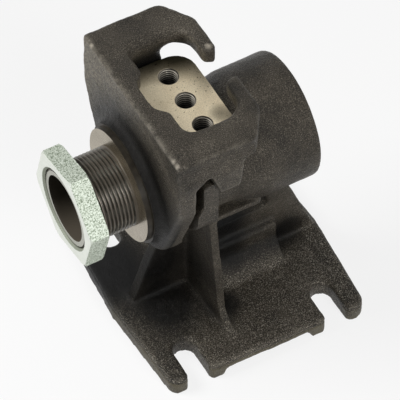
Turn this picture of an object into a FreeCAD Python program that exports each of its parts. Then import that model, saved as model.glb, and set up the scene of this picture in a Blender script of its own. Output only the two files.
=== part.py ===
import FreeCAD, Part
import math
import os

# Pedestal coupling of a submersible pump, in millimetres.
# A cast foot is bolted to the floor of a pit and carries the discharge pipe. A cast claw,
# screwed to the pump by a threaded nipple, hooks over two lugs of the foot and can be
# hoisted straight up, off the foot.
#
# Frame: +X runs along the pipe from the pump to the discharge pipe, +Z is up, the plane
# Y = 0 halves the coupling. The origin is on the floor, under the joint face of the foot.

Vector = FreeCAD.Vector

# Pipe run
AXIS_HEIGHT = 121.0            # pipe axis above the floor
THREAD_RADIUS = 23.9           # crest of the 1 1/2 inch pipe thread
NIPPLE_WALL = 4.1
FIT = 0.05                     # radial clearance of a threaded or running fit
JOINT_GAP = 0.5                # between the joint faces of claw and foot

# Base plate with four open-ended anchor slots
BASE_THICKNESS = 12.0
BASE_HALF_WIDTH = 65.0         # along Y, at the front
BASE_SPREAD = 3.6              # each side stands out this much further at the rear
BASE_EDGE = 2.5                # rounding along the top
BASE_CORNER = 8.0
FRONT_BOW = 4.5                # the front edge stands out this far at Y = 0
REAR_BOW = 5.5
SLOT_WIDTH = 13.6
SLOT_FRONT_X = -6.3
SLOT_SPACING = 89.0            # from the front slots to the rear slots
SLOT_END_Y = 46.3              # centre of the round end of a front slot
SLOT_REAR_SHIFT = 3.0          # the rear slots end this much further out
SLOT_MOUTH = 3.6               # rounding of a slot's mouth
FRONT_FINGER = 11.0            # metal outside a front slot
REAR_FINGER = 12.0             # metal outside a rear slot
FRONT_PAD = 8.2                # foot pad between a front slot and the channel underneath
REAR_PAD = 9.4
CHANNEL_HEIGHT = 5.4           # channel across the underside
CHANNEL_SLANT = 2.6            # its ends lean by this much
CHANNEL_CORNER = 2.0

# Webs that carry the pipe
WEB_OVERLAP = 4.0              # how far a web runs into the metal that it joins
BUTTRESS_REAR = 25.0
BUTTRESS_MIDDLE = 6.8          # thickness at Y = 0, from where the front tapers
BUTTRESS_RIM = 3.4             # thickness at the tips of its feet
BUTTRESS_TOP_HALF = 27.6
BUTTRESS_KNEE_HALF = 39.0
BUTTRESS_KNEE_HEIGHT = 17.0    # above the floor
BUTTRESS_KNEE_RADIUS = 13.0
BUTTRESS_FOOT_HALF = 60.0
FRONT_RIB_THICKNESS = 7.0
FRONT_RIB_TOP_X = 9.0
FRONT_RIB_FOOT_X = -17.0
REAR_WEB_THICKNESS = 8.0
REAR_WEB_TOP_X = 76.4
REAR_WEB_FOOT_X = 104.3
WINDOW_SILL = 49.3             # above the floor
WINDOW_CORNER = 4.0
LEG_WIDTH = 16.0               # metal behind the window, along X
ROOT_LENGTH = 50.5             # thick root of the rear web, behind the buttress
ROOT_HALF = 9.0
ROOT_TOP = 36.0                # above the floor
ROOT_TOP_EDGE = 3.0
ROOT_SHOULDER = 25.0
ROOT_SHOULDER_RADIUS = 5.0
ROOT_SPREAD = 20.0             # half width where the root runs out on the plate
ROOT_SPREAD_RADIUS = 3.0
SHELF_LENGTH = 28.7            # behind the buttress
SHELF_DROP = 28.0              # top of the shelf below the pipe axis
SHELF_THICKNESS = 4.0
SHELF_CORNER = 2.5
SHELF_EDGE = 1.5               # rounding along the underside

# Pipe body and discharge socket of the foot
FLANGE_MARGIN = 5.0            # metal outside the seal
FLANGE_THICKNESS = 13.0
FLANGE_EDGE = 1.0
FLANGE_SLANT = 3.0             # the flange's back falls to the neck over this length
FLANGE_REAR_EDGE = 3.0
NECK_WALL = 10.2
NECK_START = 24.5
NECK_BEND = 10.0               # rounding where the neck starts to widen
SOCKET_START = 53.5
SOCKET_BEND = 20.0
SOCKET_END = 85.5
SOCKET_WALL = 9.4
SOCKET_EDGE = 1.5
OUTLET_THREAD_RADIUS = 28.4    # core of the 2 inch pipe thread
OUTLET_THREAD_LENGTH = 26.0
OUTLET_CHAMFER = 2.0

# Head with the machined pad and its three tapped holes
HEAD_SETBACK = 0.6             # front of the head behind the joint face
PAD_HEIGHT = 48.4              # above the pipe axis
PAD_HALF_WIDTH = 32.5
PAD_LENGTH = 37.9
PAD_REAR_RADIUS = 13.0
PAD_FRONT_RADIUS = 6.0
PAD_EDGE = 0.5
HOLE_X = 20.5
HOLE_PITCH = 19.3
HOLE_RADIUS = 5.1              # core of the M12 thread
HOLE_DEPTH = 24.0
HOLE_CHAMFER = 1.1
HOLE_TIP = 3.0                 # cone left by the drill

# Lugs that the claw hooks over, heights from the pipe axis
LUG_INSET = 3.5                # lug's end face inside the claw's outer side
LUG_FOOT = 4.0
LUG_FOOT_RADIUS = 12.0
LUG_ROOT_HALF = 32.0           # where the lug's underside runs into the flange
LUG_ROOT_DROP = 19.0           # below the pipe axis
LUG_ROOT_RADIUS = 14.0
LUG_FRONT = 3.5                # front face of a lug, set back from the joint face
LUG_STEP_LOW = 13.5            # the set-back starts and ends at these heights
LUG_STEP_LOW_RADIUS = 3.0
LUG_STEP_HIGH = 20.0
LUG_STEP_HIGH_RADIUS = 6.0
LUG_CREST = 37.8
LUG_CREST_START = 6.4
LUG_CREST_END = 10.2
LUG_CREST_EDGE = 1.5
LUG_SHOULDER = 1.2             # drop from the crest to the front of the lug
WEDGE_SLOPE = 2.8              # rise over run of the lug's back and the hook on it

# Claw, heights from the pipe axis
CLAW_PLATE = 13.0              # thickness of the front plate
CLAW_TOP = 67.2
CLAW_FRONT_EDGE = 3.0          # rounding round the front plate
TOP_EDGE = 1.0                 # bevel between the top and the front
CHEEK_GAP = 1.5                # between the head of the foot and a cheek
CHEEK_THICKNESS = 20.5
CHEEK_BULGE = 2.2              # the cheeks swell below the arms
CHEEK_BULGE_HEIGHT = 50.0
CHEEK_BULGE_RADIUS = 8.0
CHEEK_REAR = 25.4
CHEEK_REAR_CORNER = 4.5
CHEEK_HOOK_REAR = 23.6         # rear of the cheek at its lower end
CHEEK_FOOT = 36.0
CHEEK_FOOT_CORNER = 2.5
SLOT_CLEARANCE = 7.5           # between the front of a lug and its slot in the cheek
SLOT_HEADROOM = 13.4           # above the lug's crest
SLOT_SHOULDER = 5.7            # the slot's roof falls this much towards the front
SLOT_ROOF = 3.3                # level part of the roof, along X
SLOT_CORNER = 3.0
HOOK_EDGE = 0.8                # rounding of the hook's tip and root
HOOK_RELIEF = 0.37             # along X, between hook and lug
BOSS_WALL = 11.3               # metal outside the nipple's thread
BOSS_HEIGHT = 8.5
BOSS_EDGE = 0.8
BOSS_TAPER = 1.0               # the boss is wider by this much at its root
BOSS_ROOT = 3.5                # fillet from the boss to the front plate
NOSE_MARGIN = 7.8              # front plate outside the boss
NOSE_ANGLE = 21.0              # below the horizontal, where the sides run into the nose
WAIST_RADIUS = 14.0

# Arms of the claw, round the pocket that takes the guide bracket
ARM_THICKNESS = 11.5
ARM_EDGE = 3.3                 # rounding along the top
ARM_FRONT_CORNER = 1.5
ARM_OUTER_CORNER = 8.0
BEVEL_START = 34.0
HOOK_GAP = 0.1                 # from the pad's rear to the hooks, seen from above
HOOK_WIDTH = 8.0
HOOK_SHOULDER = 36.0
HOOK_TIP = 10.7                # half the gap between the two hook tips
HOOK_TIP_RADIUS = 3.2
POCKET_RADIUS = 9.5
POCKET_FRONT = 2.0
POCKET_CORNER = 5.0
SCALLOP_DEPTH = 6.5
SCALLOP_HALF = 16.0
SCALLOP_FLANK = 6.0            # width of the slope from the pocket into the scallop
SCALLOP_RADIUS = 8.0
SCALLOP_FLOOR = 50.0

# Nipple, nut and seal
NIPPLE_REACH = 33.1            # in front of the boss
NIPPLE_SEAT = 7.0              # from the claw's joint face to the nipple's rear end
NIPPLE_CHAMFER = 1.2
NUT_REACH = 1.1                # the nut stands this far past the nipple's end
NUT_THICKNESS = 11.6
NUT_ACROSS_FLATS = 60.0
NUT_TURN = 167.0               # degrees from +Y to the first corner
NUT_CHAMFER_ANGLE = 30.0
NUT_FACE_SHARE = 0.7           # how far the flat face reaches from the flats to the corners
SEAL_MARGIN = 1.6              # wall between the nipple's thread and the seal
SEAL_WIDTH = 7.5
SEAL_DEPTH = 5.0
SEAL_LIP = 0.25                # stands proud of the claw's joint face
SEAL_SLOPE = 1.5

# Places that follow from the sizes above
BORE_RADIUS = THREAD_RADIUS - NIPPLE_WALL
SEAL_INNER = THREAD_RADIUS + SEAL_MARGIN
SEAL_OUTER = SEAL_INNER + SEAL_WIDTH
FLANGE_RADIUS = SEAL_OUTER + FLANGE_MARGIN
NECK_RADIUS = BORE_RADIUS + NECK_WALL
SOCKET_RADIUS = OUTLET_THREAD_RADIUS + SOCKET_WALL
BOSS_RADIUS = THREAD_RADIUS + BOSS_WALL
NOSE_RADIUS = BOSS_RADIUS + NOSE_MARGIN
SLOT_REAR_X = SLOT_FRONT_X + SLOT_SPACING
BASE_FRONT = SLOT_FRONT_X - SLOT_WIDTH / 2 - FRONT_FINGER
BASE_REAR = SLOT_REAR_X + SLOT_WIDTH / 2 + REAR_FINGER
SHELF_TOP = AXIS_HEIGHT - SHELF_DROP
PAD_TOP = AXIS_HEIGHT + PAD_HEIGHT
CLAW_ROOF = AXIS_HEIGHT + CLAW_TOP
ARM_UNDERSIDE = CLAW_ROOF - ARM_THICKNESS
CLAW_FACE = -JOINT_GAP
CLAW_FRONT = CLAW_FACE - CLAW_PLATE
BOSS_FRONT = CLAW_FRONT - BOSS_HEIGHT
CHEEK_INNER = PAD_HALF_WIDTH + CHEEK_GAP
CLAW_HALF_WIDTH = CHEEK_INNER + CHEEK_THICKNESS
LUG_HALF_WIDTH = CLAW_HALF_WIDTH - LUG_INSET
HOOK_INNER = PAD_LENGTH + HOOK_GAP
HOOK_OUTER = HOOK_INNER + HOOK_WIDTH
NIPPLE_FRONT = BOSS_FRONT - NIPPLE_REACH
NIPPLE_REAR = CLAW_FACE - NIPPLE_SEAT
NUT_FRONT = NIPPLE_FRONT - NUT_REACH
SINK = BASE_THICKNESS - WEB_OVERLAP
BEYOND = 3 * AXIS_HEIGHT       # a cut that runs right through reaches this far


def rounded_face(points, radii, normal):
    """Flat face round a closed run of points, each corner rounded by its own radius."""
    count = len(points)
    starts = []
    ends = []
    edges = []
    for i in range(count):
        corner = points[i]
        to_last = (points[i - 1] - corner).normalize()
        to_next = (points[(i + 1) % count] - corner).normalize()
        half = to_last.getAngle(to_next) / 2
        reach = radii[i] / math.tan(half) if radii[i] > 0 else 0
        starts.append(corner + to_last * reach)
        ends.append(corner + to_next * reach)
        if radii[i] > 0:
            inward = (to_last + to_next).normalize()
            middle = corner + inward * (radii[i] / math.sin(half) - radii[i])
            edges.append(Part.Arc(starts[i], middle, ends[i]).toShape())
    for i in range(count):
        following = starts[(i + 1) % count]
        if ends[i].distanceToPoint(following) > 1e-6:
            edges.append(Part.LineSegment(ends[i], following).toShape())
    wire = Part.Wire(Part.__sortEdges__(edges))
    face = Part.Face(wire)
    if face.normalAt(0, 0).dot(normal) < 0:
        face.reverse()
    return face


def prism_x(corners, start, end):
    """Solid along X from corners given as (y, height above floor, radius)."""
    points = [Vector(start, y, z) for y, z, r in corners]
    face = rounded_face(points, [r for y, z, r in corners], Vector(1, 0, 0))
    return face.extrude(Vector(end - start, 0, 0))


def prism_y(corners, start, end):
    """Solid along Y from corners given as (x, height above floor, radius)."""
    points = [Vector(x, start, z) for x, z, r in corners]
    face = rounded_face(points, [r for x, z, r in corners], Vector(0, 1, 0))
    return face.extrude(Vector(0, end - start, 0))


def prism_z(corners, start, end):
    """Solid along Z from corners given as (x, y, radius)."""
    points = [Vector(x, y, start) for x, y, r in corners]
    face = rounded_face(points, [r for x, y, r in corners], Vector(0, 0, 1))
    return face.extrude(Vector(0, 0, end - start))


def turned(profile):
    """Solid of revolution round the pipe axis, from corners given as (x, radius, rounding)."""
    points = [Vector(x, 0, AXIS_HEIGHT + radius) for x, radius, r in profile]
    face = rounded_face(points, [r for x, radius, r in profile], Vector(0, -1, 0))
    return face.revolve(Vector(0, 0, AXIS_HEIGHT), Vector(1, 0, 0), 360)


def box(x0, x1, y0, y1, z0, z1):
    return Part.makeBox(x1 - x0, y1 - y0, z1 - z0, Vector(x0, y0, z0))


def mirrored(half):
    """Closed outline from its -Y half, in which the second value is the place along Y."""
    return half + [(x, -y, r) for x, y, r in reversed(half)]


def mirrored_front(half):
    """Closed outline seen along X, from its +Y half given as (y, height, radius)."""
    return half + [(-y, z, r) for y, z, r in reversed(half)]


def edges_at(shape, axis, place):
    """Edges that lie in the plane where the given coordinate has one value."""
    low = axis + "Min"
    high = axis + "Max"
    return [edge for edge in shape.Edges
            if abs(getattr(edge.BoundBox, low) - place) < 1e-4
            and abs(getattr(edge.BoundBox, high) - place) < 1e-4]


def base_side(x):
    """Place along Y of the base plate's -Y side, which slants outward to the rear."""
    return -BASE_HALF_WIDTH - BASE_SPREAD * (x - BASE_FRONT) / (BASE_REAR - BASE_FRONT)


def slot_outline(middle, end_y):
    """Corners of one anchor slot on the -Y side, from its mouth round its end."""
    left = middle - SLOT_WIDTH / 2
    right = middle + SLOT_WIDTH / 2
    end = SLOT_WIDTH / 2 - end_y
    return [
        (left, base_side(left), SLOT_MOUTH),
        (left, end, SLOT_WIDTH / 2),
        (right, end, SLOT_WIDTH / 2),
        (right, base_side(right), SLOT_MOUTH),
    ]


def base_plate():
    front_corner = min(BASE_CORNER, FRONT_FINGER - SLOT_MOUTH - BASE_EDGE / 2)
    rear_corner = min(BASE_CORNER, REAR_FINGER - SLOT_MOUTH - BASE_EDGE / 2)
    front = [(BASE_FRONT - FRONT_BOW, 0, 0), (BASE_FRONT, base_side(BASE_FRONT), front_corner)]
    rear = [(BASE_REAR, base_side(BASE_REAR), rear_corner), (BASE_REAR + REAR_BOW, 0, 0)]
    slots = slot_outline(SLOT_FRONT_X, SLOT_END_Y) + slot_outline(SLOT_REAR_X, SLOT_END_Y + SLOT_REAR_SHIFT)
    near = front + slots + rear
    far = [(x, -y, r) for x, y, r in reversed(near[1:-1])]
    plate = prism_z(near + far, 0, BASE_THICKNESS)
    plate = plate.makeFillet(BASE_EDGE, edges_at(plate, "Z", BASE_THICKNESS))
    start = SLOT_FRONT_X + SLOT_WIDTH / 2 + FRONT_PAD
    end = SLOT_REAR_X - SLOT_WIDTH / 2 - REAR_PAD
    channel = [
        (start, -BASE_THICKNESS, 0),
        (start, 0, 0),
        (start + CHANNEL_SLANT, CHANNEL_HEIGHT, CHANNEL_CORNER),
        (end - CHANNEL_SLANT, CHANNEL_HEIGHT, CHANNEL_CORNER),
        (end, 0, 0),
        (end, -BASE_THICKNESS, 0),
    ]
    return plate.cut(prism_y(channel, -BEYOND, BEYOND))


def buttress():
    """Cross web under the flange, with feet that flare out on the plate and thin out."""
    half = [
        (BUTTRESS_FOOT_HALF, BASE_THICKNESS - BASE_EDGE, 0),
        (BUTTRESS_KNEE_HALF, BUTTRESS_KNEE_HEIGHT, BUTTRESS_KNEE_RADIUS),
        (BUTTRESS_TOP_HALF, SHELF_TOP, 0),
    ]
    front_view = prism_x(mirrored_front(half), BUTTRESS_REAR - BUTTRESS_MIDDLE, BUTTRESS_REAR)
    plan = [
        (BUTTRESS_REAR, 0, 0),
        (BUTTRESS_REAR - BUTTRESS_MIDDLE, 0, 0),
        (BUTTRESS_REAR - BUTTRESS_RIM, -BUTTRESS_FOOT_HALF, 0),
        (BUTTRESS_REAR, -BUTTRESS_FOOT_HALF, 0),
    ]
    near = front_view.common(prism_z(plan, 0, AXIS_HEIGHT))
    return near.fuse(near.mirror(Vector(0, 0, 0), Vector(0, 1, 0)))


def front_rib():
    back = BUTTRESS_REAR - BUTTRESS_RIM
    top = AXIS_HEIGHT - FLANGE_RADIUS + WEB_OVERLAP
    slope = (FRONT_RIB_TOP_X - FRONT_RIB_FOOT_X) / (AXIS_HEIGHT - FLANGE_RADIUS - BASE_THICKNESS)
    corners = [
        (FRONT_RIB_TOP_X + slope * WEB_OVERLAP, top, 0),
        (FRONT_RIB_FOOT_X, BASE_THICKNESS, 0),
        (FRONT_RIB_FOOT_X, SINK, 0),
        (back, SINK, 0),
        (back, top, 0),
    ]
    return prism_y(corners, -FRONT_RIB_THICKNESS / 2, FRONT_RIB_THICKNESS / 2)


def rear_web():
    """Long web under the pipe, with a window over its sill and a thick root on the plate."""
    start = BUTTRESS_REAR - BUTTRESS_RIM
    top = AXIS_HEIGHT - SOCKET_RADIUS + WEB_OVERLAP
    slope = (REAR_WEB_FOOT_X - REAR_WEB_TOP_X) / (AXIS_HEIGHT - SOCKET_RADIUS - BASE_THICKNESS)
    rear_at_top = REAR_WEB_TOP_X - slope * WEB_OVERLAP
    rear_at_sill = REAR_WEB_FOOT_X - slope * (WINDOW_SILL - BASE_THICKNESS)
    corners = [
        (start, SINK, 0),
        (REAR_WEB_FOOT_X, SINK, 0),
        (REAR_WEB_FOOT_X, BASE_THICKNESS, 0),
        (rear_at_top, top, 0),
        (rear_at_top - LEG_WIDTH, top, 0),
        (rear_at_sill - LEG_WIDTH, WINDOW_SILL, WINDOW_CORNER),
        (BUTTRESS_REAR, WINDOW_SILL, WINDOW_CORNER),
        (BUTTRESS_REAR, WINDOW_SILL + 2 * WINDOW_CORNER, 0),
        (start, WINDOW_SILL + 2 * WINDOW_CORNER, 0),
    ]
    web = prism_y(corners, -REAR_WEB_THICKNESS / 2, REAR_WEB_THICKNESS / 2)
    half = [
        (ROOT_SPREAD, SINK, 0),
        (ROOT_SPREAD, BASE_THICKNESS, ROOT_SPREAD_RADIUS),
        (ROOT_HALF, ROOT_SHOULDER, ROOT_SHOULDER_RADIUS),
        (ROOT_HALF, ROOT_TOP, ROOT_TOP_EDGE),
    ]
    return web.fuse(prism_x(mirrored_front(half), start, BUTTRESS_REAR + ROOT_LENGTH))


def shelf():
    """Flat stiffening shelf under the neck of the pipe."""
    half = [
        (BUTTRESS_REAR - BUTTRESS_RIM, -BUTTRESS_TOP_HALF, 0),
        (BUTTRESS_REAR + SHELF_LENGTH, -BUTTRESS_TOP_HALF, SHELF_CORNER),
    ]
    underside = SHELF_TOP - SHELF_THICKNESS
    plate = prism_z(mirrored(half), underside, SHELF_TOP)
    rim = [edge for edge in edges_at(plate, "Z", underside) if edge.BoundBox.XMax > BUTTRESS_REAR]
    return plate.makeFillet(SHELF_EDGE, rim)


def pipe_body():
    """Flange, neck and discharge socket, still without the bore."""
    return turned([
        (0, 0, 0),
        (0, FLANGE_RADIUS, FLANGE_EDGE),
        (FLANGE_THICKNESS, FLANGE_RADIUS, FLANGE_REAR_EDGE),
        (FLANGE_THICKNESS + FLANGE_SLANT, NECK_RADIUS, FLANGE_REAR_EDGE),
        (NECK_START, NECK_RADIUS, NECK_BEND),
        (SOCKET_START, SOCKET_RADIUS, SOCKET_BEND),
        (SOCKET_END, SOCKET_RADIUS, SOCKET_EDGE),
        (SOCKET_END, 0, 0),
    ])


def head():
    """Block on the pipe that ends in the machined pad."""
    half = [
        (HEAD_SETBACK, -PAD_HALF_WIDTH, PAD_FRONT_RADIUS),
        (PAD_LENGTH, -PAD_HALF_WIDTH, PAD_REAR_RADIUS),
    ]
    block = prism_z(mirrored(half), AXIS_HEIGHT - WEB_OVERLAP, PAD_TOP)
    return block.makeFillet(PAD_EDGE, edges_at(block, "Z", PAD_TOP))


def lug_back(height):
    """Place along X of the lug's wedge-shaped back at a height above the pipe axis."""
    return LUG_CREST_END + (LUG_CREST - height) / WEDGE_SLOPE


def lug():
    """Ear of the flange on the +Y side, its front set back so that the cheek passes it."""
    roof = AXIS_HEIGHT + LUG_CREST + LUG_SHOULDER
    side = [
        (0, AXIS_HEIGHT - LUG_ROOT_HALF, 0),
        (LUG_ROOT_HALF, AXIS_HEIGHT - LUG_ROOT_DROP, LUG_ROOT_RADIUS),
        (LUG_HALF_WIDTH, AXIS_HEIGHT + LUG_FOOT, LUG_FOOT_RADIUS),
        (LUG_HALF_WIDTH, roof, 0),
        (0, roof, 0),
    ]
    back_height = LUG_CREST - (FLANGE_THICKNESS - LUG_CREST_END) * WEDGE_SLOPE
    profile = [
        (0, AXIS_HEIGHT - FLANGE_RADIUS, 0),
        (0, AXIS_HEIGHT + LUG_STEP_LOW, LUG_STEP_LOW_RADIUS),
        (LUG_FRONT, AXIS_HEIGHT + LUG_STEP_HIGH, LUG_STEP_HIGH_RADIUS),
        (LUG_FRONT, AXIS_HEIGHT + LUG_CREST - LUG_SHOULDER, LUG_CREST_EDGE),
        (LUG_CREST_START, AXIS_HEIGHT + LUG_CREST, LUG_CREST_EDGE),
        (LUG_CREST_END, AXIS_HEIGHT + LUG_CREST, HOOK_EDGE),
        (FLANGE_THICKNESS, AXIS_HEIGHT + back_height, LUG_CREST_EDGE),
        (FLANGE_THICKNESS, AXIS_HEIGHT - FLANGE_RADIUS, 0),
    ]
    return prism_x(side, 0, FLANGE_THICKNESS).common(prism_y(profile, 0, BEYOND))


def tapped_hole(y):
    bottom = PAD_TOP - HOLE_DEPTH
    core = Part.makeCylinder(HOLE_RADIUS, HOLE_DEPTH, Vector(HOLE_X, y, bottom))
    tip = Part.makeCone(0, HOLE_RADIUS, HOLE_TIP, Vector(HOLE_X, y, bottom - HOLE_TIP))
    mouth_radius = HOLE_RADIUS + HOLE_CHAMFER
    mouth = Part.makeCone(HOLE_RADIUS, mouth_radius, HOLE_CHAMFER, Vector(HOLE_X, y, PAD_TOP - HOLE_CHAMFER))
    return core.fuse([tip, mouth])


def foot_casting():
    ear = lug()
    webs = [buttress(), front_rib(), rear_web(), shelf()]
    ears = [ear, ear.mirror(Vector(0, 0, 0), Vector(0, 1, 0))]
    solid = base_plate().multiFuse(webs + ears + [pipe_body(), head()])
    thread_start = SOCKET_END - OUTLET_THREAD_LENGTH
    widening = OUTLET_THREAD_RADIUS - BORE_RADIUS
    bore = turned([
        (-BEYOND, 0, 0),
        (-BEYOND, BORE_RADIUS, 0),
        (thread_start - widening, BORE_RADIUS, 0),
        (thread_start, OUTLET_THREAD_RADIUS, 0),
        (SOCKET_END - OUTLET_CHAMFER, OUTLET_THREAD_RADIUS, 0),
        (SOCKET_END, OUTLET_THREAD_RADIUS + OUTLET_CHAMFER, 0),
        (BEYOND, OUTLET_THREAD_RADIUS + OUTLET_CHAMFER, 0),
        (BEYOND, 0, 0),
    ])
    holes = [tapped_hole(HOLE_PITCH * i) for i in (-1, 0, 1)]
    return solid.cut([bore] + holes).removeSplitter()


def claw_shield():
    """Front plate with the cheeks, one outline seen along the pipe, still without hollows."""
    angle = math.radians(NOSE_ANGLE)
    edge = CLAW_HALF_WIDTH + CHEEK_BULGE
    # The slanted side is a tangent of the nose circle and meets the upright side here.
    waist = AXIS_HEIGHT + (edge * math.cos(angle) - NOSE_RADIUS) / math.sin(angle)
    nose_half = NOSE_RADIUS * math.tan((math.pi / 2 - angle) / 2)
    half = [
        (CLAW_HALF_WIDTH, CLAW_ROOF - ARM_THICKNESS / 2, 0),
        (edge, AXIS_HEIGHT + CHEEK_BULGE_HEIGHT, CHEEK_BULGE_RADIUS),
        (edge, waist, WAIST_RADIUS),
        (nose_half, AXIS_HEIGHT - NOSE_RADIUS, NOSE_RADIUS),
    ]
    block = prism_x(mirrored_front(half), CLAW_FRONT, BEVEL_START - TOP_EDGE)
    rim = [edge for edge in edges_at(block, "X", CLAW_FRONT) if edge.BoundBox.ZMin < ARM_UNDERSIDE]
    return block.makeFillet(CLAW_FRONT_EDGE, rim)


def cheek_cut():
    """What is taken from the cheeks: the slot that takes a lug and all metal behind the hook."""
    top = LUG_CREST + SLOT_HEADROOM
    hook_root = lug_back(top) + HOOK_RELIEF
    corners = [
        (LUG_FRONT - SLOT_CLEARANCE, -BEYOND, 0),
        (LUG_FRONT - SLOT_CLEARANCE, AXIS_HEIGHT + top - SLOT_SHOULDER, SLOT_CORNER),
        (hook_root - SLOT_ROOF, AXIS_HEIGHT + top, SLOT_CORNER),
        (hook_root, AXIS_HEIGHT + top, HOOK_EDGE),
        (lug_back(CHEEK_FOOT) + HOOK_RELIEF, AXIS_HEIGHT + CHEEK_FOOT, HOOK_EDGE),
        (CHEEK_HOOK_REAR, AXIS_HEIGHT + CHEEK_FOOT, CHEEK_FOOT_CORNER),
        (CHEEK_REAR, ARM_UNDERSIDE, CHEEK_REAR_CORNER),
        (BEYOND, ARM_UNDERSIDE, 0),
        (BEYOND, -BEYOND, 0),
    ]
    near = prism_y(corners, -BEYOND, -CHEEK_INNER)
    return near.fuse(near.mirror(Vector(0, 0, 0), Vector(0, 1, 0)))


def scallop():
    """Corners of the -Y half of the shallow bay in the middle of the pocket's front."""
    return [
        (POCKET_FRONT, -SCALLOP_HALF, POCKET_CORNER),
        (POCKET_FRONT - SCALLOP_DEPTH, SCALLOP_FLANK - SCALLOP_HALF, SCALLOP_RADIUS),
    ]


def claw_arms():
    """Top plate with two hooked arms round a pocket."""
    half = [
        (CLAW_FRONT, -CLAW_HALF_WIDTH, ARM_FRONT_CORNER),
        (BEVEL_START, -CLAW_HALF_WIDTH, ARM_OUTER_CORNER),
        (HOOK_OUTER, -HOOK_SHOULDER, ARM_OUTER_CORNER),
        (HOOK_OUTER, -HOOK_TIP, HOOK_TIP_RADIUS),
        (HOOK_INNER, -HOOK_TIP, HOOK_TIP_RADIUS),
        (HOOK_INNER, -PAD_HALF_WIDTH, POCKET_RADIUS),
        (POCKET_FRONT, -PAD_HALF_WIDTH, POCKET_CORNER),
    ]
    plate = prism_z(mirrored(half + scallop()), ARM_UNDERSIDE, CLAW_ROOF)
    front = [edge for edge in edges_at(plate, "Z", CLAW_ROOF) if edge.BoundBox.XMax < CLAW_FRONT + 1e-4]
    plate = plate.makeChamfer(TOP_EDGE, front)
    rim = [edge for edge in edges_at(plate, "Z", CLAW_ROOF) if edge.BoundBox.XMax > CLAW_FRONT + ARM_EDGE]
    return plate.makeFillet(ARM_EDGE, rim)


def boss():
    """Round boss that the nipple is screwed into."""
    root_radius = BOSS_RADIUS + BOSS_TAPER
    seat = CLAW_FRONT + CLAW_PLATE / 2
    return turned([
        (BOSS_FRONT, 0, 0),
        (BOSS_FRONT, BOSS_RADIUS, BOSS_EDGE),
        (CLAW_FRONT, root_radius, BOSS_ROOT),
        (CLAW_FRONT, root_radius + BOSS_ROOT, 0),
        (seat, root_radius + BOSS_ROOT, 0),
        (seat, 0, 0),
    ])


def claw_casting():
    shield = claw_shield()
    hollow = box(CLAW_FACE, BEYOND, -CHEEK_INNER, CHEEK_INNER, -BEYOND, BEYOND)
    bay = mirrored([(CLAW_FACE + PAD_LENGTH, -BEYOND, 0), (POCKET_FRONT, -BEYOND, 0)] + scallop())
    bay_cut = prism_z(bay, AXIS_HEIGHT + SCALLOP_FLOOR, BEYOND)
    inside = box(CLAW_FRONT, BEYOND, -CHEEK_INNER, CHEEK_INNER, 0, BEYOND)
    shield = shield.cut([hollow, cheek_cut(), bay_cut.common(inside)])
    solid = shield.fuse([claw_arms(), boss()])
    bore = turned([
        (-BEYOND, 0, 0),
        (-BEYOND, THREAD_RADIUS + FIT, 0),
        (NIPPLE_REAR + FIT, THREAD_RADIUS + FIT, 0),
        (NIPPLE_REAR + FIT, BORE_RADIUS, 0),
        (BEYOND, BORE_RADIUS, 0),
        (BEYOND, 0, 0),
    ])
    groove = turned([
        (CLAW_FACE - SEAL_DEPTH, SEAL_INNER - FIT, 0),
        (CLAW_FACE - SEAL_DEPTH, SEAL_OUTER + FIT, 0),
        (CLAW_FACE + JOINT_GAP, SEAL_OUTER + FIT, 0),
        (CLAW_FACE + JOINT_GAP, SEAL_INNER - FIT, 0),
    ])
    return solid.cut([bore, groove]).removeSplitter()


def threaded_nipple():
    return turned([
        (NIPPLE_FRONT, BORE_RADIUS, 0),
        (NIPPLE_FRONT, THREAD_RADIUS - NIPPLE_CHAMFER, 0),
        (NIPPLE_FRONT + NIPPLE_CHAMFER, THREAD_RADIUS, 0),
        (NIPPLE_REAR, THREAD_RADIUS, 0),
        (NIPPLE_REAR, BORE_RADIUS, 0),
    ])


def locknut():
    """Hexagon nut on the nipple, its corners turned off on both faces."""
    corner = NUT_ACROSS_FLATS / math.sqrt(3)
    corners = []
    for i in range(6):
        angle = math.radians(NUT_TURN + 60 * i)
        corners.append((corner * math.cos(angle), AXIS_HEIGHT + corner * math.sin(angle), 0))
    back = NUT_FRONT + NUT_THICKNESS
    hexagon = prism_x(corners, NUT_FRONT, back)
    flat = NUT_ACROSS_FLATS / 2
    face_radius = flat + (corner - flat) * NUT_FACE_SHARE
    drop = (corner - face_radius) * math.tan(math.radians(NUT_CHAMFER_ANGLE))
    blank = turned([
        (NUT_FRONT, THREAD_RADIUS + FIT, 0),
        (NUT_FRONT, face_radius, 0),
        (NUT_FRONT + drop, corner, 0),
        (back - drop, corner, 0),
        (back, face_radius, 0),
        (back, THREAD_RADIUS + FIT, 0),
    ])
    return hexagon.common(blank)


def flange_seal():
    """Rubber ring in the groove of the claw, pressed on the joint face of the foot."""
    floor = CLAW_FACE - SEAL_DEPTH + FIT
    return turned([
        (floor, SEAL_INNER, 0),
        (floor, SEAL_OUTER, 0),
        (CLAW_FACE, SEAL_OUTER, 0),
        (CLAW_FACE + SEAL_LIP, SEAL_OUTER - SEAL_SLOPE, 0),
        (CLAW_FACE + SEAL_LIP, SEAL_INNER + SEAL_SLOPE, 0),
        (CLAW_FACE, SEAL_INNER, 0),
    ])


PIECES = {
    "foot_casting": foot_casting,
    "claw_casting": claw_casting,
    "threaded_nipple": threaded_nipple,
    "locknut": locknut,
    "flange_seal": flange_seal,
}

os.makedirs("parts", exist_ok=True)
for name, make in PIECES.items():
    shape = make()
    shape.exportStep("parts/" + name + ".step")
    size = shape.BoundBox
    print(name, "solids", len(shape.Solids), "valid", shape.isValid(), "volume", round(shape.Volume))
    print("   x %.1f %.1f  y %.1f %.1f  z %.1f %.1f"
          % (size.XMin, size.XMax, size.YMin, size.YMax, size.ZMin, size.ZMax))
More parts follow.
